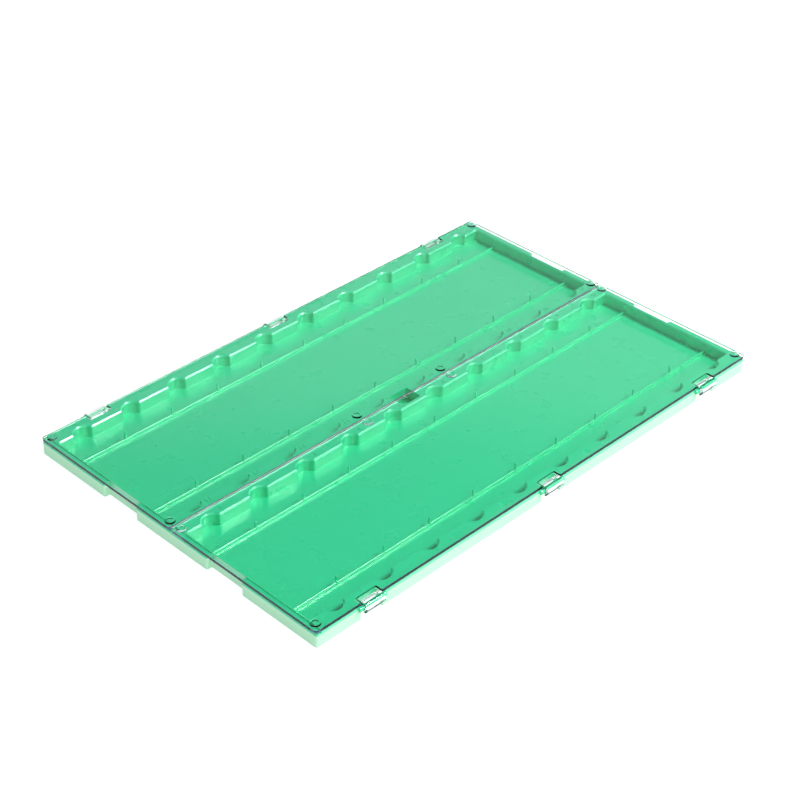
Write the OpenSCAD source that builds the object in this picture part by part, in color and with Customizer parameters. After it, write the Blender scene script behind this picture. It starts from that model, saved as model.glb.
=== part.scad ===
// Microscope slide tray: two rows of places under two clear lids hinged on the long edges.
// The slides lie across the rows on low rails, parted by slim pins, and each place has a
// finger notch at both ends. +Z is up, +X is along the rows, and the origin is on the
// surface that the tray stands on, under its middle.

/* [Places] */
// Places in one row
places = 10; // [4:2:10]
// Distance between the middles of two neighbouring places
pitch = 28; // [27.5:0.5:30]
// Length of a place, from the centre rib to the long wall
place_l = 77.3; // [76.5:0.1:80]
// Radius of a dividing pin
pin_r = 0.6; // [0.4:0.05:0.7]
// Height of a dividing pin above its rail
pin_h = 3.5; // [2:0.1:3.6]
// Height of a rail above the floor
rail_h = 1.65; // [1:0.05:2]
// Thickness of a rail
rail_t = 1; // [0.8:0.1:1.2]
// Distance between the middles of the two rails of a row
rail_gauge = 51; // [40:0.5:55]

/* [Tray] */
// Height of the rim above the table
tray_h = 7.35; // [7.2:0.05:9]
// Thickness of the floor
floor_t = 1.1; // [0.8:0.1:1.4]
// Width of the centre rib between the rows
rib_w = 13.8; // [13:0.2:18]
// Width of a long wall
wall_w = 8.3; // [8:0.1:10]
// Thickness of an end wall
end_t = 1.1; // [1:0.1:2]
// How far the outer blocks stand out from an end wall
block_out = 2.8; // [2:0.1:4]
// Height of the outer blocks
block_h = 6.9; // [5:0.1:7]
// Width of each gap between the outer blocks
block_gap = 22.4; // [10:0.2:30]
// Distance from the middle of the end wall to the near side of a gap
block_gap_y = 24; // [15:0.5:30]
// Chamfer along the mouth of each row
chamfer = 0.7; // [0.3:0.1:0.8]

/* [Finger notches] */
// Radius of a finger notch
notch_r = 5.1; // [4.5:0.1:5.3]
// Depth of a finger notch in the wall
notch_depth = 3.7; // [3:0.1:3.9]
// Radius of a dimple in the rim
dimple_r = 2; // [1:0.1:2.3]
// Depth of a dimple
dimple_depth = 0.3; // [0.1:0.05:0.5]

/* [Lids] */
// Thickness of a lid
lid_t = 1.8; // [1.6:0.1:2.2]
// Gap between a closed lid and the rim
lid_gap = 0.05; // [0.05:0.05:0.2]
// Gap between the two lids
seam = 0.45; // [0.3:0.05:1]
// Radius of a lid's corners
lid_corner_r = 1.75; // [1:0.25:3]
// Outer radius of a stacking stud
stud_r = 2.4; // [2:0.1:2.6]
// Height of a stacking stud
stud_h = 0.9; // [0.5:0.1:1.2]

/* [Hinges] */
// Radius of a hinge bar
bar_r = 0.75; // [0.6:0.05:0.8]
// Radial clearance between a hinge bar and its knuckle
bar_play = 0.05; // [0.03:0.01:0.1]
// Outer radius of a knuckle
knuckle_r = 2.7; // [2.4:0.1:2.8]
// Length of a knuckle
knuckle_l = 10.6; // [8:0.2:10.8]
// Length of the recess in the wall that a knuckle turns in
recess_l = 12.4; // [12.2:0.1:14]

/* [Hidden] */

$fn = 64;
eps = 0.01;

// The rows, seen from above
bay_x = places * pitch / 2 - pin_r;       // inner face of an end wall
bay_y0 = rib_w / 2;                       // inner end of a place, at the rib
bay_y1 = bay_y0 + place_l;                // outer end of a place, at the long wall
wall_y = bay_y1 + wall_w;                 // outer face of a long wall
row_y = (bay_y0 + bay_y1) / 2;            // middle of a row
stop_depth = notch_depth - 0.2;           // depth of the stops between the notches
core_y = bay_y0 - stop_depth;             // side of the rib behind its stops
back_y = bay_y1 + stop_depth;             // inner side of a long wall behind its stops
pocket_x = pitch / 2;                     // half length of the block with the centre pocket

// The centre pocket
pocket_half_l = 5.7;
pocket_half_w = 4.75;
ledge_h = 2.6;
ledge_w = 1;
ledge_y = -2.8;

// The end walls
end_x = bay_x + end_t;
block_x = end_x + block_out;
block_corner_r = 1;

// The lids
lid_z = tray_h + lid_gap;
lid_x = block_x + 0.3;
lid_y = wall_y + 0.1;
stud_inset_x = 3.4;
stud_inset_y = 4;
stud_seam_y = 3.7;
stud_hollow_r = 1.3;
stud_hollow_depth = 0.6;
dimple_x = pitch;
dimple_y = wall_y - 3.5;

// The hinges
hinge_xs = [-4 * pitch * places / 10, 0, 4 * pitch * places / 10];
axis_y = wall_y + 0.3;
axis_z = tray_h - 1.25;
ear_r = 1.2;
ear_l = 1.5;
recess_y = wall_y - 3.9;
lid_notch_l = 11.6;
lid_notch_y = wall_y - 3.6;
arm_t = 1.3;
snap_slot_w = 1.1;

green = [0.25, 0.8, 0.55];
bright_green = [0.2, 0.72, 0.48];
clear = [0.75, 0.9, 0.88, 0.45];

// A box between two corners
module block(low, high) {
    translate(low) cube(high - low);
}

// A flat rectangle with round corners, between two corners
module round_rectangle(low, high, r) {
    translate([low[0] + r, low[1]]) square([high[0] - low[0] - 2 * r, high[1] - low[1]]);
    translate([low[0], low[1] + r]) square([high[0] - low[0], high[1] - low[1] - 2 * r]);
    for (x = [low[0] + r, high[0] - r], y = [low[1] + r, high[1] - r])
        translate([x, y]) circle(r);
}

// Outline of a trough with a flared mouth, between two upright sides
module trough_outline(side0, side1) {
    flare_z = tray_h - chamfer;
    polygon([[side0, floor_t], [side1, floor_t], [side1, flare_z],
             [side1 + chamfer + eps, tray_h + eps], [side0 - chamfer - eps, tray_h + eps],
             [side0, flare_z]]);
}

// The hollow of the rear row, with the chamfer round its mouth
module row_hollow() {
    intersection() {
        translate([-block_x, 0, 0]) rotate([90, 0, 90])
            linear_extrude(2 * block_x) trough_outline(bay_y0, bay_y1);
        translate([0, wall_y, 0]) rotate([90, 0, 0])
            linear_extrude(wall_y) trough_outline(-bay_x, bay_x);
    }
}

// One finger notch, round and flared at the rim
module notch() {
    translate([0, 0, floor_t]) cylinder(h = tray_h, r = notch_r);
    translate([0, 0, tray_h - chamfer])
        cylinder(h = chamfer + eps, r1 = notch_r, r2 = notch_r + chamfer + eps);
}

// The notches of the rear row, at both ends of each place
module row_notches() {
    for (i = [0 : places - 1]) {
        x = (i - (places - 1) / 2) * pitch;
        translate([x, bay_y0 + notch_r - notch_depth, 0]) notch();
        translate([x, bay_y1 - notch_r + notch_depth, 0]) notch();
    }
}

// Everything that is open above the rear row's floor
module row_opening() {
    row_hollow();
    row_notches();
}

// A long wall, on the rear side, with its hinge recesses and the ears for the hinge bars
module long_wall() {
    dimple_ball_r = (dimple_r * dimple_r + dimple_depth * dimple_depth) / (2 * dimple_depth);
    difference() {
        block([-bay_x, back_y, 0], [bay_x, wall_y, tray_h]);
        row_notches();
        for (x = hinge_xs)
            block([x - recess_l / 2, recess_y, -eps], [x + recess_l / 2, wall_y + eps, tray_h + eps]);
        for (x = [-dimple_x, dimple_x])
            translate([x, dimple_y, tray_h - dimple_depth + dimple_ball_r])
                sphere(dimple_ball_r);
    }
    for (x = hinge_xs, side = [-1, 1])
        translate([x + side * (recess_l + ear_l) / 2, axis_y, axis_z]) rotate([0, 90, 0])
            cylinder(h = ear_l, r = ear_r, center = true);
}

// The stops between the finger notches, from one side of a bar to the other
module stops(y0, y1) {
    difference() {
        block([-bay_x, y0, floor_t], [bay_x, y1, tray_h]);
        row_opening();
        block([-pocket_x, -bay_y0, 0], [pocket_x, bay_y0 + eps, tray_h + eps]);
    }
}

// An end wall, on the right, with its three outer blocks
module end_wall() {
    gap_y1 = block_gap_y + block_gap;
    difference() {
        block([bay_x, -wall_y, 0], [end_x, wall_y, tray_h]);
        row_hollow();
        mirror([0, 1, 0]) row_hollow();
    }
    for (span = [[-wall_y, -gap_y1], [-block_gap_y, block_gap_y], [gap_y1, wall_y]])
        intersection() {
            linear_extrude(block_h)
                round_rectangle([bay_x, span[0]], [block_x, span[1]], block_corner_r);
            block([end_x - eps, -wall_y, 0], [block_x, wall_y, block_h]);
        }
}

// Upright pins along a rail, one between each two places and one at each end, which is
// half sunk in the end wall
module pin_line(y, z, h) {
    end_pin_x = bay_x + pin_r / 2;
    intersection() {
        union() {
            for (i = [-places / 2 + 1 : places / 2 - 1])
                translate([i * pitch, y, z]) cylinder(h = h, r = pin_r);
            for (x = [-end_pin_x, end_pin_x])
                translate([x, y, z]) cylinder(h = h, r = pin_r);
        }
        block([-bay_x, 0, 0], [bay_x, wall_y, tray_h]);
    }
}

// A rail of the rear row, with the round feet of its pins
module rail(y) {
    block([-bay_x, y - rail_t / 2, floor_t], [bay_x, y + rail_t / 2, floor_t + rail_h]);
    pin_line(y, floor_t, rail_h);
}

// The pins of the rear row, above its rails
module row_pins() {
    for (y = [row_y - rail_gauge / 2, row_y + rail_gauge / 2])
        pin_line(y, floor_t + rail_h, pin_h);
}

// The hinge bars of the rear wall
module hinge_bars() {
    for (x = hinge_xs)
        translate([x, axis_y, axis_z]) rotate([0, 90, 0])
            cylinder(h = recess_l, r = bar_r, center = true);
}

// The rear lid's flat panel, notched at its hinges
module lid_panel() {
    translate([0, 0, lid_z]) linear_extrude(lid_t) difference() {
        round_rectangle([-lid_x, seam / 2], [lid_x, lid_y], lid_corner_r);
        for (x = hinge_xs)
            translate([x - lid_notch_l / 2, lid_notch_y]) square([lid_notch_l, lid_y]);
    }
}

// The rear lid's knuckles: open rings on arms, which snap over the hinge bars from above
module lid_knuckles() {
    bore_r = bar_r + bar_play;
    for (x = hinge_xs) translate([x, 0, 0]) difference() {
        union() {
            translate([0, axis_y, axis_z]) rotate([0, 90, 0])
                cylinder(h = knuckle_l, r = knuckle_r, center = true);
            block([-knuckle_l / 2, lid_notch_y, lid_z], [knuckle_l / 2, axis_y, lid_z + arm_t]);
        }
        translate([0, axis_y, axis_z]) rotate([0, 90, 0])
            cylinder(h = knuckle_l + 1, r = bore_r, center = true);
        block([-knuckle_l, axis_y - snap_slot_w / 2, axis_z - knuckle_r - 1],
              [knuckle_l, axis_y + snap_slot_w / 2, axis_z]);
    }
}

// One stacking stud: a low ring
module stud() {
    difference() {
        cylinder(h = stud_h, r = stud_r);
        translate([0, 0, stud_h - stud_hollow_depth])
            cylinder(h = stud_h, r = stud_hollow_r);
    }
}

// The rear lid's studs: two at the outer corners and four along the seam
module lid_studs() {
    corner_x = lid_x - stud_inset_x;
    places_xy = [[-corner_x, lid_y - stud_inset_y], [corner_x, lid_y - stud_inset_y],
                 [-corner_x, stud_seam_y], [-dimple_x, stud_seam_y],
                 [dimple_x, stud_seam_y], [corner_x, stud_seam_y]];
    for (p = places_xy)
        translate([p[0], p[1], lid_z + lid_t]) stud();
}

module floor_panel() {
    color(green) block([-bay_x, -back_y, 0], [bay_x, back_y, floor_t]);
}

module front_wall() { color(bright_green) mirror([0, 1, 0]) long_wall(); }
module rear_wall() { color(bright_green) long_wall(); }
module left_end_wall() { color(bright_green) mirror([1, 0, 0]) end_wall(); }
module right_end_wall() { color(bright_green) end_wall(); }

// The rib's core, in two lengths either side of the centre pocket
module centre_rib() {
    color(green) for (side = [0, 1]) mirror([side, 0, 0]) difference() {
        block([pocket_x, -core_y, floor_t], [bay_x, core_y, tray_h]);
        row_notches();
        mirror([0, 1, 0]) row_notches();
    }
}

// The block in the middle of the rib, with its pocket and the ledge inside it
module centre_pocket() {
    color(green) {
        difference() {
            block([-pocket_x, -bay_y0, floor_t], [pocket_x, bay_y0, tray_h]);
            row_opening();
            mirror([0, 1, 0]) row_opening();
            block([-pocket_half_l, -pocket_half_w, floor_t - eps],
                  [pocket_half_l, pocket_half_w, tray_h + eps]);
        }
        block([-pocket_half_l, ledge_y - ledge_w / 2, floor_t],
              [pocket_half_l / 3, ledge_y + ledge_w / 2, floor_t + ledge_h]);
    }
}

module front_wall_stops() { color(bright_green) mirror([0, 1, 0]) stops(bay_y1, back_y); }
module rear_wall_stops() { color(bright_green) stops(bay_y1, back_y); }
module front_rib_stops() { color(bright_green) mirror([0, 1, 0]) stops(core_y, bay_y0); }
module rear_rib_stops() { color(bright_green) stops(core_y, bay_y0); }

module front_outer_rail() { color(green) mirror([0, 1, 0]) rail(row_y + rail_gauge / 2); }
module front_inner_rail() { color(green) mirror([0, 1, 0]) rail(row_y - rail_gauge / 2); }
module rear_inner_rail() { color(green) rail(row_y - rail_gauge / 2); }
module rear_outer_rail() { color(green) rail(row_y + rail_gauge / 2); }

module front_row_pins() { color(green) mirror([0, 1, 0]) row_pins(); }
module rear_row_pins() { color(green) row_pins(); }
module front_hinge_bars() { color(green) mirror([0, 1, 0]) hinge_bars(); }
module rear_hinge_bars() { color(green) hinge_bars(); }

module front_lid_panel() { color(clear) mirror([0, 1, 0]) lid_panel(); }
module front_lid_knuckles() { color(clear) mirror([0, 1, 0]) lid_knuckles(); }
module front_lid_studs() { color(clear) mirror([0, 1, 0]) lid_studs(); }
module rear_lid_panel() { color(clear) lid_panel(); }
module rear_lid_knuckles() { color(clear) lid_knuckles(); }
module rear_lid_studs() { color(clear) lid_studs(); }

floor_panel();
front_wall();
rear_wall();
left_end_wall();
right_end_wall();
centre_rib();
centre_pocket();
front_wall_stops();
rear_wall_stops();
front_rib_stops();
rear_rib_stops();
front_outer_rail();
front_inner_rail();
rear_inner_rail();
rear_outer_rail();
front_row_pins();
rear_row_pins();
front_hinge_bars();
rear_hinge_bars();
front_lid_panel();
front_lid_knuckles();
front_lid_studs();
rear_lid_panel();
rear_lid_knuckles();
rear_lid_studs();
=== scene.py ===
import math

import bmesh
import bpy
from mathutils import Matrix, Vector
from mathutils.geometry import delaunay_2d_cdt


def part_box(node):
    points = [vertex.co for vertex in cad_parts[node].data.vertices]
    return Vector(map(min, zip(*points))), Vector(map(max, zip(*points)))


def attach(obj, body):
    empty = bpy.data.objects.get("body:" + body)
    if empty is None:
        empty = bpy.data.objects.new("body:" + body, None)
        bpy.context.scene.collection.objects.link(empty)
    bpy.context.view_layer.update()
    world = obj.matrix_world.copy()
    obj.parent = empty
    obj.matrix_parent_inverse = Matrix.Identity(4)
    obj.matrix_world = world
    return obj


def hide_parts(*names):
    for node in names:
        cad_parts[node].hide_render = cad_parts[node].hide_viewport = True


# A microscope slide tray: a green moulded tray with two rows of places, under two clear
# lids hinged on its long edges. Lengths are in millimetres until a mesh is finished.

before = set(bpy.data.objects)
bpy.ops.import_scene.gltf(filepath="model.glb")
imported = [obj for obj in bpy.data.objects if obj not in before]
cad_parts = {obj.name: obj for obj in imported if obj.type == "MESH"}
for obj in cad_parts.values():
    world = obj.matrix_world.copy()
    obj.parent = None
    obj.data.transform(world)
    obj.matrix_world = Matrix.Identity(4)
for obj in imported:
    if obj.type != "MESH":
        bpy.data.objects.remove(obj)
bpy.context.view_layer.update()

MM = 0.001


def cad_box(node):
    """Lowest and highest corner of a CAD node, in millimetres."""
    low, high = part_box(node)
    return low / MM, high / MM


# ---------------------------------------------------------------- sizes from the frame

_, FLOOR_HIGH = cad_box("floor_panel")
_, END_HIGH = cad_box("right_end_wall")
STOPS_LOW, _ = cad_box("rear_wall_stops")
_, RIB_HIGH = cad_box("rear_rib_stops")
BARS_LOW, BARS_HIGH = cad_box("rear_hinge_bars")
LID_LOW, LID_HIGH = cad_box("rear_lid_panel")
KNUCKLES_LOW, KNUCKLES_HIGH = cad_box("rear_lid_knuckles")
STUDS_LOW, STUDS_HIGH = cad_box("rear_lid_studs")
_, PINS_HIGH = cad_box("rear_row_pins")
_, RAIL_HIGH = cad_box("rear_inner_rail")

PLACES = 10
FLOOR_Z = FLOOR_HIGH.z
RIM_Z = END_HIGH.z
BAY_X = FLOOR_HIGH.x
BAY_Y0 = RIB_HIGH.y
BAY_Y1 = STOPS_LOW.y
WALL_Y = END_HIGH.y
BLOCK_X = END_HIGH.x
PIN_R = 0.6
PITCH = 2 * (BAY_X + PIN_R) / PLACES
PLACE_XS = [(i - (PLACES - 1) / 2) * PITCH for i in range(PLACES)]

# A rounded edge of size e has a middle line set in by EDGE_MIDDLE * e from either face
EDGE_MIDDLE = 0.3

# The tray's walls. The outer blocks on its short sides are lower than the rim, with gaps
# between them. The matt outside is painted pale as a sheen, which ends a little below a
# block's top and lower in a gap, so the green left above it is a painted shade line under
# the lid's edge.
END_X = BAY_X + 1.1
BLOCK_Z = 6.9
BLOCK_R = 1.0
BLOCK_EDGE = 0.35
SHEEN_TOP_Z = BLOCK_Z - 1.0
GAP_SHEEN_TOP_Z = BLOCK_Z - 2.1
GAP0, GAP1 = 24.0, 46.4
GAP_R = 0.6
CHAMFER = 0.7
CHAMFER_SOFT = 0.1
EDGE = 0.16
NOTCH_R = 5.1
NOTCH_DEPTH = 3.7
NOTCH_LIP_R = 1.0
BAY_CORNER_R = 0.9
FOOT_R = 0.16
DIMPLE_R = 2.0
DIMPLE_DEPTH = 0.3
DIMPLE_Y = WALL_Y - 3.5

# The places' numbers on the rib: the one beside the pocket is smaller
NUMBER_YS = (-3.9, 4.5)
NUMBER_SIZE, NUMBER_X = 3.6, 7.8
SMALL_NUMBER_SIZE, SMALL_NUMBER_X = 2.0, 6.75
NUMBER_DEPTH = 0.25

# The centre pocket
POCKET_X = 5.7
POCKET_Y = 4.75
POCKET_R = 0.8
POCKET_EDGE = 0.3
LEDGE_Z = FLOOR_Z + 2.6
LEDGE_X = POCKET_X / 3
LEDGE_Y0, LEDGE_Y1 = -3.3, -2.3

# The rails and the pins
RAIL_HALF = 0.5
RAIL_TOP_R = 0.42
RAIL_SUNK = 0.3
PIN_FOOT_R = PIN_R + 0.2

# The hinges
AXIS_Y = (BARS_LOW.y + BARS_HIGH.y) / 2
AXIS_Z = (BARS_LOW.z + BARS_HIGH.z) / 2
BAR_R = (BARS_HIGH.z - BARS_LOW.z) / 2
RECESS_X = 6.2
RECESS_Y = WALL_Y - 3.9
RECESS_R = 0.3
HINGE_X = BARS_HIGH.x - RECESS_X
HINGE_XS = [-HINGE_X, 0.0, HINGE_X]
EAR_R = 1.2
EAR_L = 1.5
EAR_EDGE = 0.2
KNUCKLE_X = KNUCKLES_HIGH.x - HINGE_X
KNUCKLE_R = AXIS_Z - KNUCKLES_LOW.z
BORE_R = BAR_R + 0.05
SNAP_SLOT = 1.1
ARM_Z = LID_LOW.z + 1.3
LID_NOTCH_X = 5.8
LID_NOTCH_Y = KNUCKLES_LOW.y
LID_NOTCH_R = 0.4

# The lids
LID_CORNER_R = 1.75
STUD_R = 2.4
STUD_HOLLOW_R = 1.3
STUD_HOLLOW_DEPTH = 0.6
STUD_EDGE = 0.14
LID_EDGE = 0.15
LID_EDGE_Z = LID_LOW.z + 0.6
STUD_XY = [
    (-STUDS_HIGH.x + STUD_R, STUDS_HIGH.y - STUD_R),
    (STUDS_HIGH.x - STUD_R, STUDS_HIGH.y - STUD_R),
    (-STUDS_HIGH.x + STUD_R, STUDS_LOW.y + STUD_R),
    (-PITCH, STUDS_LOW.y + STUD_R),
    (PITCH, STUDS_LOW.y + STUD_R),
    (STUDS_HIGH.x - STUD_R, STUDS_LOW.y + STUD_R),
]


# ---------------------------------------------------------------- outlines


def arc(cx, cy, r, a0, a1, steps):
    """Points on an arc from angle a0 to a1, in degrees, both ends included."""
    out = []
    for i in range(steps + 1):
        a = math.radians(a0 + (a1 - a0) * i / steps)
        out.append((cx + r * math.cos(a), cy + r * math.sin(a)))
    return out


def rounded(corners, inset=0.0, steps=6):
    """A closed outline, counterclockwise, of corners (x, y, radius), each moved in by inset.

    A radius of 0 keeps the corner as one point, for a point on a straight side.
    """
    out = []
    count = len(corners)
    for i, (x, y, r) in enumerate(corners):
        before = Vector(corners[i - 1][:2])
        here = Vector((x, y))
        after = Vector(corners[(i + 1) % count][:2])
        t1 = (here - before).normalized()
        t2 = (after - here).normalized()
        n1 = Vector((t1.y, -t1.x))
        n2 = Vector((t2.y, -t2.x))
        if r == 0:
            p = here - inset * (n1 + n2) / (1 + n1.dot(n2))
            out.append((p.x, p.y))
            continue
        turn = t1.x * t2.y - t1.y * t2.x
        side = 1 if turn > 0 else -1
        centre = here - side * r * (n1 + n2)
        radius = r - side * inset
        a1 = math.degrees(math.atan2(side * n1.y, side * n1.x))
        out += arc(centre.x, centre.y, radius, a1, a1 + side * 90, steps)
    return out


def notched_side(grow):
    """One long side of a row's hollow as (along, depth into the wall), for a hollow that is
    grown by that much. Each notch is a round bite with a rounded lip on either side."""
    lip = NOTCH_LIP_R
    centre = NOTCH_DEPTH - NOTCH_R
    half = math.sqrt((NOTCH_R + lip) ** 2 - (lip - centre) ** 2)
    slope = math.degrees(math.atan2(lip - centre, half))
    out = []
    for x in PLACE_XS:
        out += arc(x - half, lip, lip - grow, -90, -slope, 5)
        out += arc(x, centre, NOTCH_R + grow, 180 - slope, slope, 22)[1:-1]
        out += arc(x + half, lip, lip - grow, slope - 180, -90, 5)
    return out


def row_outline(grow):
    """The rear row's hollow seen from above, counterclockwise."""
    r = BAY_CORNER_R
    x, y0, y1 = BAY_X - r, BAY_Y0 + r, BAY_Y1 - r
    out = [(s, BAY_Y0 - depth) for s, depth in notched_side(grow)]
    out += arc(x, y0, r + grow, -90, 0, 5)
    out += arc(x, y1, r + grow, 0, 90, 5)
    out += [(-s, BAY_Y1 + depth) for s, depth in notched_side(grow)]
    out += arc(-x, y1, r + grow, 90, 180, 5)
    out += arc(-x, y0, r + grow, 180, 270, 5)
    return out


def flipped(outline):
    """The outline mirrored to the front row, still counterclockwise."""
    return [(x, -y) for x, y in reversed(outline)]


def rear_side_corners():
    """Corners of the tray's rear side from right to left, with the hinge recesses."""
    out = [(END_X, WALL_Y, 0)]
    for x in reversed(HINGE_XS):
        out += [
            (x + RECESS_X, WALL_Y, RECESS_R),
            (x + RECESS_X, RECESS_Y, RECESS_R),
            (x - RECESS_X, RECESS_Y, RECESS_R),
            (x - RECESS_X, WALL_Y, RECESS_R),
        ]
    return out + [(-END_X, WALL_Y, 0)]


def around(corners):
    """The corners of the right and rear sides, and the same after a half turn."""
    return corners + [(-x, -y, r) for x, y, r in corners]


def rim_corners():
    """The tray's outline above the outer blocks."""
    near, far = GAP0 + GAP_R, GAP1 - GAP_R
    right = [(END_X, y, 0) for y in (-far, -near, near, far)]
    return around(right + rear_side_corners())


def base_corners(block_x=BLOCK_X):
    """The tray's outline round the outer blocks, which reach out to block_x."""
    right = [
        (block_x, -GAP1, BLOCK_R),
        (END_X, -GAP1, GAP_R),
        (END_X, -GAP0, GAP_R),
        (block_x, -GAP0, BLOCK_R),
        (block_x, GAP0, BLOCK_R),
        (END_X, GAP0, GAP_R),
        (END_X, GAP1, GAP_R),
        (block_x, GAP1, BLOCK_R),
        (block_x, WALL_Y, BLOCK_R),
    ]
    return around(right + rear_side_corners() + [(-block_x, WALL_Y, BLOCK_R)])


# ---------------------------------------------------------------- meshes


def loop(bm, outline, z):
    """The outline's points as vertices at one height."""
    return [bm.verts.new((x, y, z)) for x, y in outline]


def skin(bm, low, high):
    """Quads between two loops of the same count."""
    count = len(low)
    for i in range(count):
        j = (i + 1) % count
        bm.faces.new((low[i], low[j], high[j], high[i]))


def loft(bm, loops):
    """Quads along a row of loops of the same count."""
    for low, high in zip(loops, loops[1:]):
        skin(bm, low, high)


def fill(bm, loops):
    """Flat faces between level loops: inside the first, outside the holes in it."""
    verts = [v for one in loops for v in one]
    points = [Vector((v.co.x, v.co.y)) for v in verts]
    edges, start = [], 0
    for one in loops:
        count = len(one)
        edges += [(start + i, start + (i + 1) % count) for i in range(count)]
        start += count
    _, _, triangles, sources, _, _ = delaunay_2d_cdt(points, edges, [], 0, 1e-6, True)
    triangles = [[sources[i][0] for i in triangle] for triangle in triangles]
    for face in inside(triangles, edges):
        bm.faces.new([verts[i] for i in face])


def inside(faces, edges):
    """The triangles that are inside: from outside the outermost edge, every given edge that
    is crossed changes outside to inside or back."""
    walls = {frozenset(edge) for edge in edges}
    beside = {}
    for n, face in enumerate(faces):
        for i, j in zip(face, face[1:] + face[:1]):
            beside.setdefault(frozenset((i, j)), []).append(n)
    state, todo = {}, []
    for edge, pair in beside.items():
        if len(pair) == 1 and pair[0] not in state:
            state[pair[0]] = edge in walls
            todo.append(pair[0])
    while todo:
        n = todo.pop()
        face = faces[n]
        for i, j in zip(face, face[1:] + face[:1]):
            edge = frozenset((i, j))
            for other in beside[edge]:
                if other not in state:
                    state[other] = state[n] != (edge in walls)
                    todo.append(other)
    return [face for n, face in enumerate(faces) if state[n]]


def fan(bm, ring, centre):
    """Closes a ring onto a point."""
    point = bm.verts.new(centre)
    for i, v in enumerate(ring):
        bm.faces.new((v, ring[(i + 1) % len(ring)], point))


def turned(bm, centre, profile, axis, steps):
    """A closed turned shape: profile is (radius, height) from its lower to its upper end."""
    rings = []
    for r, h in profile:
        ring = []
        for i in range(steps):
            a = 2 * math.pi * i / steps
            p = (r * math.cos(a), r * math.sin(a), h)
            if axis == "X":
                p = (h, p[0], p[1])
            ring.append(bm.verts.new(Vector(centre) + Vector(p)))
        rings.append(ring)
    loft(bm, rings)
    bm.faces.new(rings[0])
    bm.faces.new(rings[-1])


def prism(bm, outline, x0, x1):
    """A closed bar along X of a (y, z) outline given as (y, z, radius) corners, with
    bevelled ends."""
    bevel = 0.12
    rings = []
    for x, inset in ((x0, bevel), (x0 + bevel, 0), (x1 - bevel, 0), (x1, bevel)):
        rings.append([bm.verts.new((x, y, z)) for y, z in rounded(outline, inset, 4)])
    loft(bm, rings)
    bm.faces.new(rings[0])
    bm.faces.new(rings[-1])


# A face is level, or upright, when its normal's z is over, or under, these
LEVEL = 0.9999
UPRIGHT = 0.3
SHARP_ANGLE = math.radians(40)


def tray_finish_and_painted_sheen(face):
    """0 for the tray's polished faces, 1 for the matt ones: upright, outside and low."""
    centre = face.calc_center_median()
    on_long_side = abs(centre.y) > WALL_Y - EDGE / 2
    past = abs(centre.x) > END_X - EDGE / 2 or on_long_side
    on_block = abs(centre.x) > END_X + GAP_R or on_long_side
    top = SHEEN_TOP_Z if on_block else GAP_SHEEN_TOP_Z
    # The matt faces are painted pale as a sheen; the green left above them outside is a painted
    # shade line
    return int(past and centre.z < top and abs(face.normal.z) < UPRIGHT)


def lid_painted_edges(face):
    """0 for a lid's clear faces, 1 for its edge along the seam and 2 for its other edges."""
    centre = face.calc_center_median()
    y = abs(centre.y)
    if abs(face.normal.z) > UPRIGHT or not LID_EDGE_Z < centre.z < LID_HIGH.z:
        return 0
    # Painted glint: the edge along the seam gets the grey-pink tint
    if y < LID_LOW.y + 0.1:
        return 1
    # Painted shade: the ends and the outer long edge get the dark navy tint
    at_end = abs(centre.x) > LID_HIGH.x - LID_CORNER_R
    return 2 if at_end or LID_HIGH.y - 0.1 < y < LID_HIGH.y + 0.01 else 0


def finish_piece(bm, name, body, materials, nodes, finish=None):
    """Turns a bmesh in millimetres into a piece that rides on a body. With several
    materials, finish says which one a face gets."""
    bmesh.ops.remove_doubles(bm, verts=bm.verts, dist=1e-4)
    bmesh.ops.recalc_face_normals(bm, faces=bm.faces)
    if finish:
        for face in bm.faces:
            face.material_index = finish(face)
    bmesh.ops.scale(bm, vec=(MM, MM, MM), verts=bm.verts)
    mesh = bpy.data.meshes.new(name)
    bm.to_mesh(mesh)
    bm.free()
    piece = bpy.data.objects.new(name, mesh)
    bpy.context.scene.collection.objects.link(piece)
    for material in materials:
        mesh.materials.append(material)
    smooth(piece)
    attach(piece, body)
    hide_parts(*nodes)


def smooth(piece):
    """Smooth shading that keeps sharp edges, and is flat on every level face."""
    piece.data.shade_smooth()
    for face in piece.data.polygons:
        face.use_smooth = abs(face.normal.z) < LEVEL
    piece.data.set_sharp_from_angle(angle=SHARP_ANGLE)
    weighted = piece.modifiers.new("flat_faces_flat", "WEIGHTED_NORMAL")
    weighted.keep_sharp = True


# ---------------------------------------------------------------- the tray's shell


def number_outlines(text, x, y, size):
    """Closed outlines of a number on the rib, from Blender's own font."""
    curve = bpy.data.curves.new("number", "FONT")
    curve.body = text
    curve.size = size
    curve.align_x = "CENTER"
    curve.align_y = "CENTER"
    curve.resolution_u = 3
    holder = bpy.data.objects.new("number", curve)
    bpy.context.scene.collection.objects.link(holder)
    bpy.context.view_layer.update()
    mesh = holder.evaluated_get(bpy.context.evaluated_depsgraph_get()).to_mesh()
    flat = bmesh.new()
    flat.from_mesh(mesh)
    bmesh.ops.remove_doubles(flat, verts=flat.verts, dist=1e-5)
    left = [e for e in flat.edges if e.is_boundary]
    outlines = []
    while left:
        edge = left.pop(0)
        first, here = edge.verts
        outline = [first]
        while here is not first:
            outline.append(here)
            edge = next(e for e in left if here in e.verts)
            left.remove(edge)
            here = edge.other_vert(here)
        outlines.append([(x + v.co.x, y + v.co.y) for v in outline])
    flat.free()
    holder.to_mesh_clear()
    bpy.data.objects.remove(holder)
    bpy.data.curves.remove(curve)
    return outlines


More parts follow.
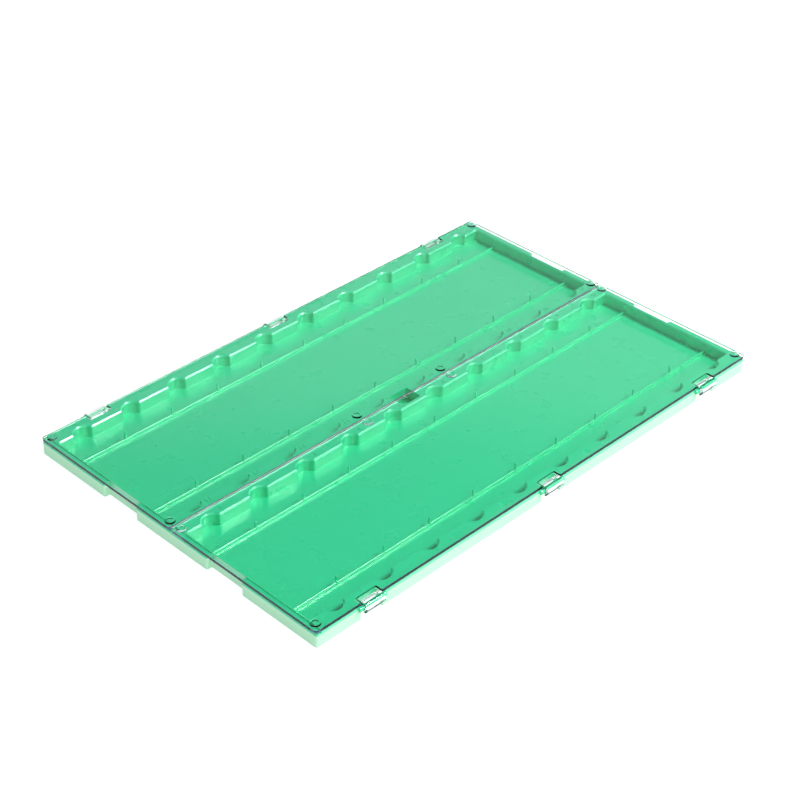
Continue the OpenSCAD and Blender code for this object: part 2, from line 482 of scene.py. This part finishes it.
def hollow_walls(bm, outline_of):
    """The walls of a row's hollow, from its floor's edge to the rim. Returns the loops at
    the floor and at the rim."""
    foot_middle = EDGE_MIDDLE * FOOT_R
    levels = [(-FOOT_R, FLOOR_Z), (-foot_middle, FLOOR_Z + foot_middle), (0, FLOOR_Z + FOOT_R)]
    chamfer_z = RIM_Z - CHAMFER
    soft, middle = CHAMFER_SOFT, CHAMFER_SOFT * EDGE_MIDDLE
    levels += [(0, chamfer_z - soft), (middle, chamfer_z + middle)]
    levels += [(soft, chamfer_z + soft), (CHAMFER - soft, RIM_Z - soft)]
    levels += [(CHAMFER - middle, RIM_Z - middle * 0.7), (CHAMFER + soft * 0.6, RIM_Z)]
    loops = [loop(bm, outline_of(grow), z) for grow, z in levels]
    loft(bm, loops)
    return loops[0], loops[-1]


def dimple(bm, x, y):
    """A shallow round dimple in the rim. Returns its mouth."""
    rings = []
    for share in (1.0, 0.9, 0.7, 0.45, 0.2):
        z = RIM_Z - DIMPLE_DEPTH * (1 - share**2)
        rings.append(loop(bm, arc(x, y, DIMPLE_R * share, 0, 360 - 12, 29), z))
    loft(bm, rings)
    fan(bm, rings[-1], (x, y, RIM_Z - DIMPLE_DEPTH))
    return rings[0]


def between(outline, first, last):
    """The stretch of a closed loop of vertices between two places, both included."""

    def nearest(place):
        return min(range(len(outline)), key=lambda i: (outline[i].co.xy - Vector(place)).length)

    i, j = nearest(first), nearest(last)
    if j < i:
        j += len(outline)
    return [outline[k % len(outline)] for k in range(i, j + 1)]


def outside_walls(bm):
    """The outside, from the underside up to the blocks' tops, and on to the rim. Returns
    the loops round the underside, the blocks' tops and the rim."""
    middle = EDGE * EDGE_MIDDLE
    base, rim = base_corners(), rim_corners()
    under = loop(bm, rounded(base, EDGE), 0)
    rings = [under, loop(bm, rounded(base, middle), middle)]
    for z in (EDGE, GAP_SHEEN_TOP_Z, SHEEN_TOP_Z, BLOCK_Z - BLOCK_EDGE):
        rings.append(loop(bm, rounded(base), z))
    low_top = loop(bm, rounded(base_corners(BLOCK_X - BLOCK_EDGE)), BLOCK_Z)
    loft(bm, rings + [low_top])
    rings = [loop(bm, rounded(rim), z) for z in (BLOCK_Z, RIM_Z - EDGE)]
    rings.append(loop(bm, rounded(rim, middle), RIM_Z - middle))
    high_rim = loop(bm, rounded(rim, EDGE), RIM_Z)
    loft(bm, rings + [high_rim])
    return under, low_top, high_rim


def block_tops(bm, low_top):
    """The tops of the outer blocks, within the loop round them."""
    near, far = GAP0 + GAP_R, GAP1 - GAP_R
    for side in (1, -1):
        for y0, y1 in ((-near, near), (far, WALL_Y), (-WALL_Y, -far)):
            bm.faces.new(between(low_top, (side * END_X, side * y0), (side * END_X, side * y1)))


def pocket_walls(bm):
    """The centre pocket's floor and walls. Returns its mouth."""
    pocket = [
        (-POCKET_X, -POCKET_Y, POCKET_R),
        (POCKET_X, -POCKET_Y, POCKET_R),
        (POCKET_X, POCKET_Y, POCKET_R),
        (-POCKET_X, POCKET_Y, POCKET_R),
    ]
    e, middle = POCKET_EDGE, 0.08
    levels = [(e, FLOOR_Z), (middle, FLOOR_Z + middle), (0, FLOOR_Z + e)]
    levels += [(0, RIM_Z - e), (-middle, RIM_Z - middle), (-e, RIM_Z)]
    loops = [loop(bm, rounded(pocket, inset), z) for inset, z in levels]
    loft(bm, loops)
    fill(bm, [loops[0]])
    return loops[-1]


def place_numbers(bm):
    """The places' numbers, sunk into the rib. Returns their outlines on the rim."""
    holes = []
    for row, y in enumerate(NUMBER_YS):
        for i, x in enumerate(PLACE_XS):
            text = str(row * PLACES + i + 1)
            if i == PLACES / 2 - 1:
                outlines = number_outlines(text, x + SMALL_NUMBER_X, y, SMALL_NUMBER_SIZE)
            else:
                outlines = number_outlines(text, x + NUMBER_X, y, NUMBER_SIZE)
            low = [loop(bm, one, RIM_Z - NUMBER_DEPTH) for one in outlines]
            high = [loop(bm, one, RIM_Z) for one in outlines]
            for a, b in zip(low, high):
                skin(bm, a, b)
            fill(bm, low)
            holes += high
    return holes


def tray_shell():
    """Floor, walls, blocks, rib and pocket in one moulded skin."""
    bm = bmesh.new()
    under, low_top, high_rim = outside_walls(bm)
    block_tops(bm, low_top)
    holes = []
    for outline_of in (row_outline, lambda grow: flipped(row_outline(grow))):
        foot, mouth = hollow_walls(bm, outline_of)
        fill(bm, [foot])
        holes.append(mouth)
    holes.append(pocket_walls(bm))
    for x in (-PITCH, PITCH):
        for y in (-DIMPLE_Y, DIMPLE_Y):
            holes.append(dimple(bm, x, y))
    holes += place_numbers(bm)
    fill(bm, [high_rim] + holes)
    fill(bm, [under])
    return bm


def pocket_ledge(bm):
    """The ledge in the pocket, sunk a little into the floor and the pocket's left wall."""
    corners = [
        (LEDGE_Y0, FLOOR_Z - 0.2, 0.1),
        (LEDGE_Y1, FLOOR_Z - 0.2, 0.1),
        (LEDGE_Y1, LEDGE_Z, 0.2),
        (LEDGE_Y0, LEDGE_Z, 0.2),
    ]
    prism(bm, corners, -POCKET_X - 0.1, LEDGE_X)


def hinge_ears(bm):
    """The round ears that hold the hinge bars."""
    half, soft, middle = EAR_L / 2, EAR_EDGE, EAR_EDGE * EDGE_MIDDLE
    profile = [(EAR_R - soft, -half), (EAR_R - middle, -half + middle)]
    profile += [(EAR_R, -half + soft), (EAR_R, half - soft)]
    profile += [(EAR_R - middle, half - middle), (EAR_R - soft, half)]
    for y in (-AXIS_Y, AXIS_Y):
        for x in HINGE_XS:
            for side in (-1, 1):
                ear_x = x + side * (RECESS_X + half)
                turned(bm, (ear_x, y, AXIS_Z), profile, "X", 28)


def rail(bm, y):
    """A rail, sunk a little into the floor and the end walls."""
    foot_half = RAIL_HALF + 0.04
    corners = [
        (y - foot_half, FLOOR_Z - RAIL_SUNK, 0.02),
        (y + foot_half, FLOOR_Z - RAIL_SUNK, 0.02),
        (y + RAIL_HALF, RAIL_HIGH.z, RAIL_TOP_R),
        (y - RAIL_HALF, RAIL_HIGH.z, RAIL_TOP_R),
    ]
    prism(bm, corners, -BAY_X - RAIL_SUNK, BAY_X + RAIL_SUNK)


def pin(bm, x, y):
    """A slim tapered pin with a round top and a flared foot."""
    r, top = PIN_R, PINS_HIGH.z
    profile = [(PIN_FOOT_R, FLOOR_Z - 0.2), (PIN_FOOT_R, FLOOR_Z), (r + 0.06, FLOOR_Z + 0.06)]
    profile += [(r, FLOOR_Z + 0.25), (r - 0.06, top - 0.3), (r - 0.12, top - 0.12)]
    profile += [(r - 0.28, top - 0.02), (0.08, top)]
    turned(bm, (x, y, 0), profile, "Z", 20)


# ---------------------------------------------------------------- the lids


def lid_outline(inset):
    """The rear lid seen from above, counterclockwise."""
    corners = [
        (LID_LOW.x, LID_LOW.y, LID_CORNER_R),
        (LID_HIGH.x, LID_LOW.y, LID_CORNER_R),
        (LID_HIGH.x, LID_HIGH.y, LID_CORNER_R),
    ]
    for x in reversed(HINGE_XS):
        corners += [
            (x + LID_NOTCH_X, LID_HIGH.y, LID_NOTCH_R),
            (x + LID_NOTCH_X, LID_NOTCH_Y, LID_NOTCH_R),
            (x - LID_NOTCH_X, LID_NOTCH_Y, LID_NOTCH_R),
            (x - LID_NOTCH_X, LID_HIGH.y, LID_NOTCH_R),
        ]
    corners.append((LID_LOW.x, LID_HIGH.y, LID_CORNER_R))
    return rounded(corners, inset, 8)


def stud(bm, x, y):
    """A low ring on the lid's top. Returns its foot."""
    z, top = LID_HIGH.z, STUDS_HIGH.z
    floor = top - STUD_HOLLOW_DEPTH
    edge, middle = STUD_EDGE, STUD_EDGE * EDGE_MIDDLE
    outer, hollow = STUD_R, STUD_HOLLOW_R
    profile = [(outer + 0.06, z), (outer, z + 0.08), (outer, top - edge)]
    profile += [(outer - middle, top - middle), (outer - edge, top)]
    profile += [(hollow + edge, top), (hollow + middle, top - middle)]
    profile += [(hollow, top - edge), (hollow - 0.05, floor + edge)]
    profile += [(hollow - middle, floor + 0.2 * edge), (hollow - 0.3, floor)]
    rings = [loop(bm, arc(x, y, r, 0, 352.5, 47), h) for r, h in profile]
    loft(bm, rings)
    bm.faces.new(rings[-1])
    return rings[0]


def lid_plate():
    """The rear lid's plate with its studs, rounded more at its lower edge than its upper."""
    bm = bmesh.new()
    z0, z1 = LID_LOW.z, LID_HIGH.z
    middle = LID_EDGE * EDGE_MIDDLE
    levels = [(0.36, z0), (0.17, z0 + 0.12), (0.04, z0 + 0.34), (0, LID_EDGE_Z)]
    levels += [(0, z1 - LID_EDGE), (middle, z1 - middle), (LID_EDGE, z1)]
    loops = [loop(bm, lid_outline(inset), z) for inset, z in levels]
    loft(bm, loops)
    fill(bm, [loops[0]])
    feet = [stud(bm, x, y) for x, y in STUD_XY]
    fill(bm, [loops[-1]] + feet)
    return bm


def knuckle_outline():
    """An open ring on an arm, in (y, z), counterclockwise: the ring's slot faces down."""
    slot = math.degrees(math.asin(SNAP_SLOT / 2 / BORE_R))
    outer_slot = math.degrees(math.asin(SNAP_SLOT / 2 / KNUCKLE_R))
    arm_low = LID_LOW.z + 0.04
    a_low = 180 - math.degrees(math.asin((arm_low - AXIS_Z) / KNUCKLE_R))
    a_high = 180 - math.degrees(math.asin((ARM_Z - AXIS_Z) / KNUCKLE_R))
    out = arc(AXIS_Y, AXIS_Z, KNUCKLE_R, -90 + outer_slot, a_high, 34)
    root_y = LID_NOTCH_Y - 0.5
    out += [(root_y, ARM_Z), (root_y, arm_low)]
    out += arc(AXIS_Y, AXIS_Z, KNUCKLE_R, a_low, 270 - outer_slot, 14)
    out += arc(AXIS_Y, AXIS_Z, BORE_R, 270 - slot, -90 + slot, 30)
    return out


def knuckles():
    """The rear lid's three knuckles on their arms, which reach into the plate."""
    bm = bmesh.new()
    for x in HINGE_XS:
        rings = []
        for side in (-1, 1):
            ring = [bm.verts.new((x + side * KNUCKLE_X, y, z)) for y, z in knuckle_outline()]
            rings.append(ring)
            bm.faces.new(ring)
        skin(bm, rings[0], rings[1])
    return bm


def raw_object(bm, name):
    """A bmesh as an object for a Boolean, still in millimetres."""
    bmesh.ops.remove_doubles(bm, verts=bm.verts, dist=1e-4)
    bmesh.ops.recalc_face_normals(bm, faces=bm.faces)
    mesh = bpy.data.meshes.new(name)
    bm.to_mesh(mesh)
    bm.free()
    made = bpy.data.objects.new(name, mesh)
    bpy.context.scene.collection.objects.link(made)
    return made


def lid_mesh():
    """The rear lid's plate with its knuckles joined on, as one bmesh."""
    plate = raw_object(lid_plate(), "plate")
    arms = raw_object(knuckles(), "arms")
    join = plate.modifiers.new("join", "BOOLEAN")
    join.operation = "UNION"
    join.solver = "EXACT"
    join.object = arms
    bpy.context.view_layer.update()
    joined = plate.evaluated_get(bpy.context.evaluated_depsgraph_get())
    bm = bmesh.new()
    bm.from_mesh(joined.to_mesh())
    joined.to_mesh_clear()
    for one in (plate, arms):
        bpy.data.objects.remove(one)
    return bm


# ---------------------------------------------------------------- materials


def node_tree(name):
    """A new material and its empty node tree."""
    material = bpy.data.materials.new(name)
    material.use_nodes = True
    tree = material.node_tree
    tree.nodes.clear()
    return material, tree


def link(tree, a, b):
    tree.links.new(a, b)


def noise(tree, coords, scale, detail=3.0):
    """Smooth noise, finer for a larger scale."""
    node = tree.nodes.new("ShaderNodeTexNoise")
    node.inputs["Scale"].default_value = scale
    node.inputs["Detail"].default_value = detail
    link(tree, coords, node.inputs["Vector"])
    return node.outputs["Fac"]


def ranged(tree, value, low, high):
    """A noise's usual span, 0.3 to 0.7, stretched to low to high."""
    node = tree.nodes.new("ShaderNodeMapRange")
    node.inputs["From Min"].default_value = 0.3
    node.inputs["From Max"].default_value = 0.7
    node.inputs["To Min"].default_value = low
    node.inputs["To Max"].default_value = high
    link(tree, value, node.inputs["Value"])
    return node.outputs["Result"]


def bump(tree, height, strength, distance):
    """A surface normal tilted by a height."""
    node = tree.nodes.new("ShaderNodeBump")
    node.inputs["Strength"].default_value = strength
    node.inputs["Distance"].default_value = distance
    link(tree, height, node.inputs["Height"])
    return node.outputs["Normal"]


def maths(tree, operation, *values):
    """A Math node, whose inputs are numbers or other nodes' outputs."""
    node = tree.nodes.new("ShaderNodeMath")
    node.operation = operation
    for socket, value in zip(node.inputs, values):
        if isinstance(value, (int, float)):
            socket.default_value = value
        else:
            link(tree, value, socket)
    return node.outputs["Value"]


def blended(tree, factor, a, b):
    """A colour between a and b, which are colours or other nodes' outputs."""
    node = tree.nodes.new("ShaderNodeMix")
    node.data_type = "RGBA"
    link(tree, factor, node.inputs["Factor"])
    for name, value in (("A", a), ("B", b)):
        if isinstance(value, tuple):
            node.inputs[name].default_value = (*value, 1)
        else:
            link(tree, value, node.inputs[name])
    return node.outputs["Result"]


def tray_gloss():
    """Opaque green moulded plastic with a polished skin, as it is inside the tray: a faint
    flow pattern, a fine grain and small changes in gloss."""
    material, tree = node_tree("tray_green")
    coords = tree.nodes.new("ShaderNodeTexCoord").outputs["Object"]
    shader = tree.nodes.new("ShaderNodeBsdfPrincipled")
    flow = noise(tree, coords, 9.0, 3.0)
    colour = blended(tree, flow, (0.010, 0.520, 0.228), (0.014, 0.540, 0.238))
    link(tree, colour, shader.inputs["Base Color"])
    link(tree, ranged(tree, noise(tree, coords, 90.0, 3.0), 0.26, 0.34), shader.inputs["Roughness"])
    grain = noise(tree, coords, 2600.0, 2.0)
    link(tree, bump(tree, grain, 0.05, 0.00003), shader.inputs["Normal"])
    shader.inputs["IOR"].default_value = 1.5
    shader.inputs["Coat Weight"].default_value = 1.0
    shader.inputs["Coat Roughness"].default_value = 0.12
    shader.inputs["Coat IOR"].default_value = 1.8
    out = tree.nodes.new("ShaderNodeOutputMaterial")
    link(tree, shader.outputs["BSDF"], out.inputs["Surface"])
    return material


def tray_matt_painted_sheen():
    """The same plastic on the outside faces, which the mould leaves finely textured: matt and
    speckled, with faint lines along the draw of the mould. Its pale colour is a painted sheen,
    a whitish veil of reflected light."""
    material, tree = node_tree("tray_green_outside_painted_sheen")
    coords = tree.nodes.new("ShaderNodeTexCoord").outputs["Object"]
    shader = tree.nodes.new("ShaderNodeBsdfPrincipled")
    layers = tree.nodes.new("ShaderNodeMapping")
    layers.inputs["Scale"].default_value = (0.15, 0.15, 6.0)
    link(tree, coords, layers.inputs["Vector"])
    lines = noise(tree, layers.outputs["Vector"], 150.0, 2.0)
    speckle = noise(tree, coords, 1800.0, 2.0)
    mixed = maths(tree, "MULTIPLY_ADD", lines, 0.5, maths(tree, "MULTIPLY", speckle, 0.5))
    # Painted sheen: both colours are far paler than the green plastic, standing in for reflected
    # light
    colour = blended(tree, mixed, (0.30, 0.60, 0.38), (0.42, 0.74, 0.52))
    link(tree, colour, shader.inputs["Base Color"])
    link(tree, ranged(tree, speckle, 0.5, 0.62), shader.inputs["Roughness"])
    link(tree, bump(tree, mixed, 0.12, 0.00005), shader.inputs["Normal"])
    shader.inputs["IOR"].default_value = 1.5
    out = tree.nodes.new("ShaderNodeOutputMaterial")
    link(tree, shader.outputs["BSDF"], out.inputs["Surface"])
    return material


def clear_plastic(name, tint, sheen):
    """Clear plastic: it bends light, and lets the lamps through to the tray. Light that runs
    along inside it comes out dim and bluish, which darkens its edges."""
    material, tree = node_tree(name)
    coords = tree.nodes.new("ShaderNodeTexCoord").outputs["Object"]
    glass = tree.nodes.new("ShaderNodeBsdfPrincipled")
    # A dark tint here is painted shade, and a coloured sheen a painted reflection
    glass.inputs["Base Color"].default_value = (*tint, 1)
    glass.inputs["Transmission Weight"].default_value = 1.0
    glass.inputs["IOR"].default_value = 1.5
    glass.inputs["Specular Tint"].default_value = (*sheen, 1)
    haze = noise(tree, coords, 40.0, 3.0)
    link(tree, ranged(tree, haze, 0.016, 0.03), glass.inputs["Roughness"])
    clear = tree.nodes.new("ShaderNodeBsdfTransparent")
    clear.inputs["Color"].default_value = (0.93, 0.96, 0.95, 1)
    path = tree.nodes.new("ShaderNodeLightPath")
    surface = glass.outputs["BSDF"]
    for kind in ("Is Shadow Ray", "Is Diffuse Ray"):
        either = tree.nodes.new("ShaderNodeMixShader")
        link(tree, path.outputs[kind], either.inputs["Fac"])
        link(tree, surface, either.inputs[1])
        link(tree, clear.outputs["BSDF"], either.inputs[2])
        surface = either.outputs["Shader"]
    depth = tree.nodes.new("ShaderNodeVolumeAbsorption")
    depth.inputs["Color"].default_value = (0.2, 0.55, 0.62, 1)
    depth.inputs["Density"].default_value = 30.0
    out = tree.nodes.new("ShaderNodeOutputMaterial")
    link(tree, surface, out.inputs["Surface"])
    link(tree, depth.outputs["Volume"], out.inputs["Volume"])
    return material


def frosted_plastic_painted_glint(name, low, high):
    """The finely frosted plastic of a lid's edge, in a tint between two colours."""
    material, tree = node_tree(name)
    coords = tree.nodes.new("ShaderNodeTexCoord").outputs["Object"]
    shader = tree.nodes.new("ShaderNodeBsdfPrincipled")
    grain = noise(tree, coords, 900.0, 3.0)
    # Painted glint: the tint stands in for the light and reflections seen in the gap between the
    # lids
    link(tree, blended(tree, grain, low, high), shader.inputs["Base Color"])
    link(tree, ranged(tree, grain, 0.35, 0.5), shader.inputs["Roughness"])
    link(tree, bump(tree, grain, 0.1, 0.00004), shader.inputs["Normal"])
    shader.inputs["Transmission Weight"].default_value = 0.4
    shader.inputs["IOR"].default_value = 1.5
    out = tree.nodes.new("ShaderNodeOutputMaterial")
    link(tree, shader.outputs["BSDF"], out.inputs["Surface"])
    return material


def floor_paper():
    """A plain white studio floor that glows a little, as a light table does."""
    material, tree = node_tree("studio_floor")
    coords = tree.nodes.new("ShaderNodeTexCoord").outputs["Object"]
    shader = tree.nodes.new("ShaderNodeBsdfPrincipled")
    shader.inputs["Base Color"].default_value = (0.4, 0.4, 0.4, 1)
    shader.inputs["Specular IOR Level"].default_value = 0.1
    shader.inputs["Emission Color"].default_value = (1, 1, 1, 1)
    shader.inputs["Emission Strength"].default_value = 0.8
    link(tree, ranged(tree, noise(tree, coords, 6.0), 0.7, 0.8), shader.inputs["Roughness"])
    out = tree.nodes.new("ShaderNodeOutputMaterial")
    link(tree, shader.outputs["BSDF"], out.inputs["Surface"])
    return material


# ---------------------------------------------------------------- studio


CAMERA_AZIMUTH = math.radians(-45.304)
CAMERA_ELEVATION = math.radians(35.103)
CAMERA_ROLL = math.radians(0.588)
CAMERA_TARGET = (-2.736, 0.526, 7.3)
CAMERA_DISTANCE = 0.895


def camera():
    """The camera, at the photo's angle."""
    data = bpy.data.cameras.new("camera")
    data.lens = 84.87
    data.sensor_width = 36.0
    data.clip_start, data.clip_end = 0.01, 50
    cam = bpy.data.objects.new("camera", data)
    bpy.context.scene.collection.objects.link(cam)
    back = Vector((
        math.sin(CAMERA_AZIMUTH) * math.cos(CAMERA_ELEVATION),
        -math.cos(CAMERA_AZIMUTH) * math.cos(CAMERA_ELEVATION),
        math.sin(CAMERA_ELEVATION),
    ))
    cam.location = Vector(CAMERA_TARGET) * MM + back * CAMERA_DISTANCE
    cam.rotation_mode = "QUATERNION"
    roll = Matrix.Rotation(CAMERA_ROLL, 4, "Z").to_quaternion()
    cam.rotation_quaternion = (-back).to_track_quat("-Z", "Y") @ roll
    bpy.context.scene.camera = cam


def area_light(name, place, size, power):
    """A lamp aimed at the origin."""
    data = bpy.data.lights.new(name, "AREA")
    data.shape = "RECTANGLE"
    data.size, data.size_y = size
    data.energy = power
    lamp = bpy.data.objects.new(name, data)
    bpy.context.scene.collection.objects.link(lamp)
    lamp.location = place
    aim = -Vector(place)
    lamp.rotation_euler = aim.to_track_quat("-Z", "Y").to_euler()


WALL_LIGHT = (0.55, 0.56, 0.58)
CEILING_LIGHT = (0.19, 0.20, 0.23)
WALL_TOP = (math.radians(34.3), math.radians(37.0))


def sky():
    """Soft surroundings: a pale wall up to a little over 35 degrees, dimmer above it."""
    world = bpy.data.worlds.new("studio")
    bpy.context.scene.world = world
    world.use_nodes = True
    tree = world.node_tree
    split = tree.nodes.new("ShaderNodeSeparateXYZ")
    link(tree, tree.nodes.new("ShaderNodeTexCoord").outputs["Generated"], split.inputs["Vector"])
    height = tree.nodes.new("ShaderNodeMapRange")
    height.interpolation_type = "SMOOTHSTEP"
    height.inputs["From Min"].default_value = math.sin(WALL_TOP[0])
    height.inputs["From Max"].default_value = math.sin(WALL_TOP[1])
    link(tree, split.outputs["Z"], height.inputs["Value"])
    colour = blended(tree, height.outputs["Result"], WALL_LIGHT, CEILING_LIGHT)
    link(tree, colour, tree.nodes["Background"].inputs["Color"])


def studio():
    """The surroundings, two lamps and the floor."""
    scene = bpy.context.scene
    scene.view_settings.view_transform = "Standard"
    sky()
    area_light("key", (0.57, -0.68, 1.22), (0.5, 0.5), 31.0)
    area_light("fill", (-0.65, -0.9, 0.55), (1.0, 0.8), 6.0)

    bm = bmesh.new()
    bmesh.ops.create_grid(bm, x_segments=8, y_segments=8, size=4)
    mesh = bpy.data.meshes.new("studio_floor")
    bm.to_mesh(mesh)
    bm.free()
    floor = bpy.data.objects.new("studio_floor", mesh)
    scene.collection.objects.link(floor)
    mesh.materials.append(floor_paper())


# ---------------------------------------------------------------- the pieces


def build_shell():
    """The tray in one piece, without its rails, pins and hinge bars."""
    bm = tray_shell()
    pocket_ledge(bm)
    hinge_ears(bm)
    nodes = ["floor_panel", "front_wall", "rear_wall", "left_end_wall", "right_end_wall"]
    nodes += ["centre_rib", "centre_pocket", "front_wall_stops", "rear_wall_stops"]
    nodes += ["front_rib_stops", "rear_rib_stops"]
    finish_piece(bm, "tray_shell", "tray", [GREEN, PALE_SHEEN], nodes, tray_finish_and_painted_sheen)


def rail_y(row, where):
    """The middle of a row's inner or outer rail."""
    low, high = cad_box(f"{row}_{where}_rail")
    return (low.y + high.y) / 2


def build_rails(row):
    """A row's inner and outer rails."""
    for where in ("inner", "outer"):
        bm = bmesh.new()
        rail(bm, rail_y(row, where))
        name = f"{row}_{where}_slide_rail"
        finish_piece(bm, name, "tray", [GREEN], [f"{row}_{where}_rail"])


def build_pins(row):
    """The pins between the places. The outermost are moved out into the end walls."""
    outermost = BAY_X + PIN_R / 2
    bm = bmesh.new()
    for where in ("inner", "outer"):
        for i in range(PLACES + 1):
            x = (i - PLACES / 2) * PITCH
            pin(bm, max(-outermost, min(outermost, x)), rail_y(row, where))
    finish_piece(bm, f"{row}_dividing_pins", "tray", [GREEN], [f"{row}_row_pins"])


def build_bars(row, side):
    """A row's three hinge bars, their ends in the ears."""
    bm = bmesh.new()
    profile = [(BAR_R - 0.1, -RECESS_X - 0.2), (BAR_R, -RECESS_X), (BAR_R, RECESS_X)]
    profile += [(BAR_R - 0.1, RECESS_X + 0.2)]
    for x in HINGE_XS:
        turned(bm, (x, side * AXIS_Y, AXIS_Z), profile, "X", 28)
    finish_piece(bm, f"{row}_lid_bars", "tray", [GREEN], [f"{row}_hinge_bars"])


def build_lid(row, side):
    """A row's lid: the rear one, mirrored for the front row."""
    bm = lid_mesh()
    if side < 0:
        bmesh.ops.scale(bm, vec=(1, -1, 1), verts=bm.verts)
    nodes = [f"{row}_lid_panel", f"{row}_lid_knuckles", f"{row}_lid_studs"]
    name, body = f"{row}_clear_lid", f"{row}_lid"
    finish_piece(bm, name, body, [CLEAR, SEAM_PAINTED_GLINT, RIM_PAINTED_DARK], nodes, lid_painted_edges)


camera()
studio()
GREEN = tray_gloss()
# Painted sheen: the outside faces' pale colour stands in for reflected light
PALE_SHEEN = tray_matt_painted_sheen()
CLEAR = clear_plastic("lid_clear", (0.97, 0.99, 0.985), (0.08, 0.08, 0.08))
# Painted shade: the lid's outer edges are tinted dark navy for the darkness of light trapped inside
# the plate, with a painted bluish reflection
RIM_PAINTED_DARK = clear_plastic("lid_rim_painted_dark", (0.03, 0.09, 0.30), (0.1, 0.3, 1.0))
# Painted glint: the seam's grey-pink stands in for the light seen in the gap between the lids
SEAM_PAINTED_GLINT = frosted_plastic_painted_glint("lid_seam_painted_glint", (0.22, 0.15, 0.25), (0.30, 0.21, 0.34))
build_shell()
for row, side in (("front", -1), ("rear", 1)):
    build_rails(row)
    build_pins(row)
    build_bars(row, side)
    build_lid(row, side)
